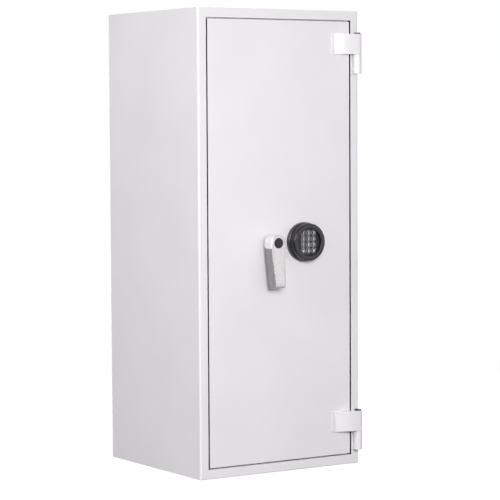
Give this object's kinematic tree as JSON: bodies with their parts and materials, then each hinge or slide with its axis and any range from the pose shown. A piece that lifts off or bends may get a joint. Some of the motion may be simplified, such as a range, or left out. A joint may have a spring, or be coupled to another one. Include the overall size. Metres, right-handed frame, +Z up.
{
  "type": "fireproof safe",
  "caption": "Tall single-door fire-resistant safe with an electronic keypad lock, a lever handle, rack-driven boltwork, outside hinges and inside shelves.",
  "frame": {"origin": "centre of the base on the floor, at the middle of the body without hinges and handle", "axes": "+Z up, the door faces -Y, +X towards the hinge side"},
  "size_m": [0.4955, 0.515, 1.2],
  "materials": {
    "body_paint": "satin",
    "hinge_paint": "satin",
    "inside_paint": "satin",
    "fire_filling": "matte",
    "seal_strip": "matte",
    "hardened_steel": "satin",
    "bright_steel": "satin",
    "zinc_steel": "satin",
    "brass": "satin",
    "die_cast_zinc": "satin",
    "satin_lever": "satin",
    "black_caps": "satin",
    "guide_nylon": "satin",
    "keypad_shell": "satin",
    "keypad_panel": "matte",
    "key_plastic": "satin",
    "rubber_mat": "matte",
    "board": "satin",
    "battery_case": "satin",
    "cable_sheath": "matte"
  },
  "bodies": {
    "root": {"outer_casing": "body_paint", "back_panel": "body_paint", "wall_filling": "fire_filling", "front_frame": "body_paint", "inner_liner": "inside_paint", "fire_seal": "seal_strip", "strike_plates": "hardened_steel", "lower_frame_knuckle": "hinge_paint", "upper_frame_knuckle": "hinge_paint", "hinge_pins": "bright_steel", "shelf_rails": "zinc_steel", "shelf_clips": "zinc_steel", "lower_shelf": "inside_paint", "middle_shelf": "inside_paint", "upper_shelf": "inside_paint", "anchor_sleeves": "bright_steel"},
    "door": {"door_plate": "body_paint", "door_filling": "fire_filling", "inner_tray": "inside_paint", "rear_cover": "inside_paint", "cover_screws": "zinc_steel", "lower_hinge_pad": "hinge_paint", "upper_hinge_pad": "hinge_paint", "hinge_bushes": "guide_nylon", "hinge_caps": "black_caps", "spindle_sleeve": "bright_steel", "handle_collar": "satin_lever", "bolt_guides": "guide_nylon", "rod_guides": "zinc_steel", "fixed_dogs": "hardened_steel", "lock_case": "die_cast_zinc", "lock_cable": "cable_sheath", "keypad_base": "keypad_shell", "keypad_housing": "keypad_shell", "keypad_face": "keypad_panel", "key_mat": "rubber_mat", "circuit_board": "board", "battery": "battery_case"},
    "handle": {"handle_lever": "satin_lever", "lever_cap": "black_caps", "spindle": "bright_steel", "pinion": "brass", "spindle_ring": "zinc_steel"},
    "side_bolts": {"bolt_carriage": "zinc_steel", "side_bolts": "bright_steel"},
    "top_bolt": {"top_bolt_rod": "bright_steel"},
    "bottom_bolt": {"bottom_bolt_rod": "bright_steel"},
    "lock_bolt": {"lock_bolt": "brass"},
    "key_1": {"key_1": "key_plastic"},
    "key_2": {"key_2": "key_plastic"},
    "key_3": {"key_3": "key_plastic"},
    "key_4": {"key_4": "key_plastic"},
    "key_5": {"key_5": "key_plastic"},
    "key_6": {"key_6": "key_plastic"},
    "key_7": {"key_7": "key_plastic"},
    "key_8": {"key_8": "key_plastic"},
    "key_9": {"key_9": "key_plastic"},
    "key_star": {"key_star": "key_plastic"},
    "key_0": {"key_0": "key_plastic"},
    "key_hash": {"key_hash": "key_plastic"}
  },
  "joints": [
    {"name": "door_hinge", "type": "hinge", "parent": "root", "child": "door", "pos_m": [0.2365, -0.242, 0], "axis": [0, 0, 1], "range_deg": [0, 180]},
    {"name": "handle_turn", "type": "hinge", "parent": "door", "child": "handle", "pos_m": [-0.036, -0.23, 0.6], "axis": [0, 1, 0], "range_deg": [0, 90]},
    {"name": "side_bolts_slide", "type": "slide", "parent": "door", "child": "side_bolts", "axis": [-1, 0, 0], "range_m": [0, 0.0315]},
    {"name": "top_bolt_slide", "type": "slide", "parent": "door", "child": "top_bolt", "axis": [0, 0, 1], "range_m": [0, 0.0315]},
    {"name": "bottom_bolt_slide", "type": "slide", "parent": "door", "child": "bottom_bolt", "axis": [0, 0, -1], "range_m": [0, 0.0315]},
    {"name": "lock_bolt_slide", "type": "slide", "parent": "door", "child": "lock_bolt", "axis": [0, 0, -1], "range_m": [0, 0.0101]},
    {"name": "key_1_press", "type": "slide", "parent": "door", "child": "key_1", "axis": [0, 1, 0], "range_m": [0, 0.0012], "stiffness_N_per_m": 800},
    {"name": "key_2_press", "type": "slide", "parent": "door", "child": "key_2", "axis": [0, 1, 0], "range_m": [0, 0.0012], "stiffness_N_per_m": 800},
    {"name": "key_3_press", "type": "slide", "parent": "door", "child": "key_3", "axis": [0, 1, 0], "range_m": [0, 0.0012], "stiffness_N_per_m": 800},
    {"name": "key_4_press", "type": "slide", "parent": "door", "child": "key_4", "axis": [0, 1, 0], "range_m": [0, 0.0012], "stiffness_N_per_m": 800},
    {"name": "key_5_press", "type": "slide", "parent": "door", "child": "key_5", "axis": [0, 1, 0], "range_m": [0, 0.0012], "stiffness_N_per_m": 800},
    {"name": "key_6_press", "type": "slide", "parent": "door", "child": "key_6", "axis": [0, 1, 0], "range_m": [0, 0.0012], "stiffness_N_per_m": 800},
    {"name": "key_7_press", "type": "slide", "parent": "door", "child": "key_7", "axis": [0, 1, 0], "range_m": [0, 0.0012], "stiffness_N_per_m": 800},
    {"name": "key_8_press", "type": "slide", "parent": "door", "child": "key_8", "axis": [0, 1, 0], "range_m": [0, 0.0012], "stiffness_N_per_m": 800},
    {"name": "key_9_press", "type": "slide", "parent": "door", "child": "key_9", "axis": [0, 1, 0], "range_m": [0, 0.0012], "stiffness_N_per_m": 800},
    {"name": "key_star_press", "type": "slide", "parent": "door", "child": "key_star", "axis": [0, 1, 0], "range_m": [0, 0.0012], "stiffness_N_per_m": 800},
    {"name": "key_0_press", "type": "slide", "parent": "door", "child": "key_0", "axis": [0, 1, 0], "range_m": [0, 0.0012], "stiffness_N_per_m": 800},
    {"name": "key_hash_press", "type": "slide", "parent": "door", "child": "key_hash", "axis": [0, 1, 0], "range_m": [0, 0.0012], "stiffness_N_per_m": 800}
  ],
  "couplings": [
    {"joint": "side_bolts_slide", "follows": "handle_turn", "m_per_rad": 0.02},
    {"joint": "top_bolt_slide", "follows": "handle_turn", "m_per_rad": 0.02},
    {"joint": "bottom_bolt_slide", "follows": "handle_turn", "m_per_rad": 0.02},
    {"joint": "lock_bolt_slide", "follows": "handle_turn", "m_per_rad": 0.0063662}
  ]
}
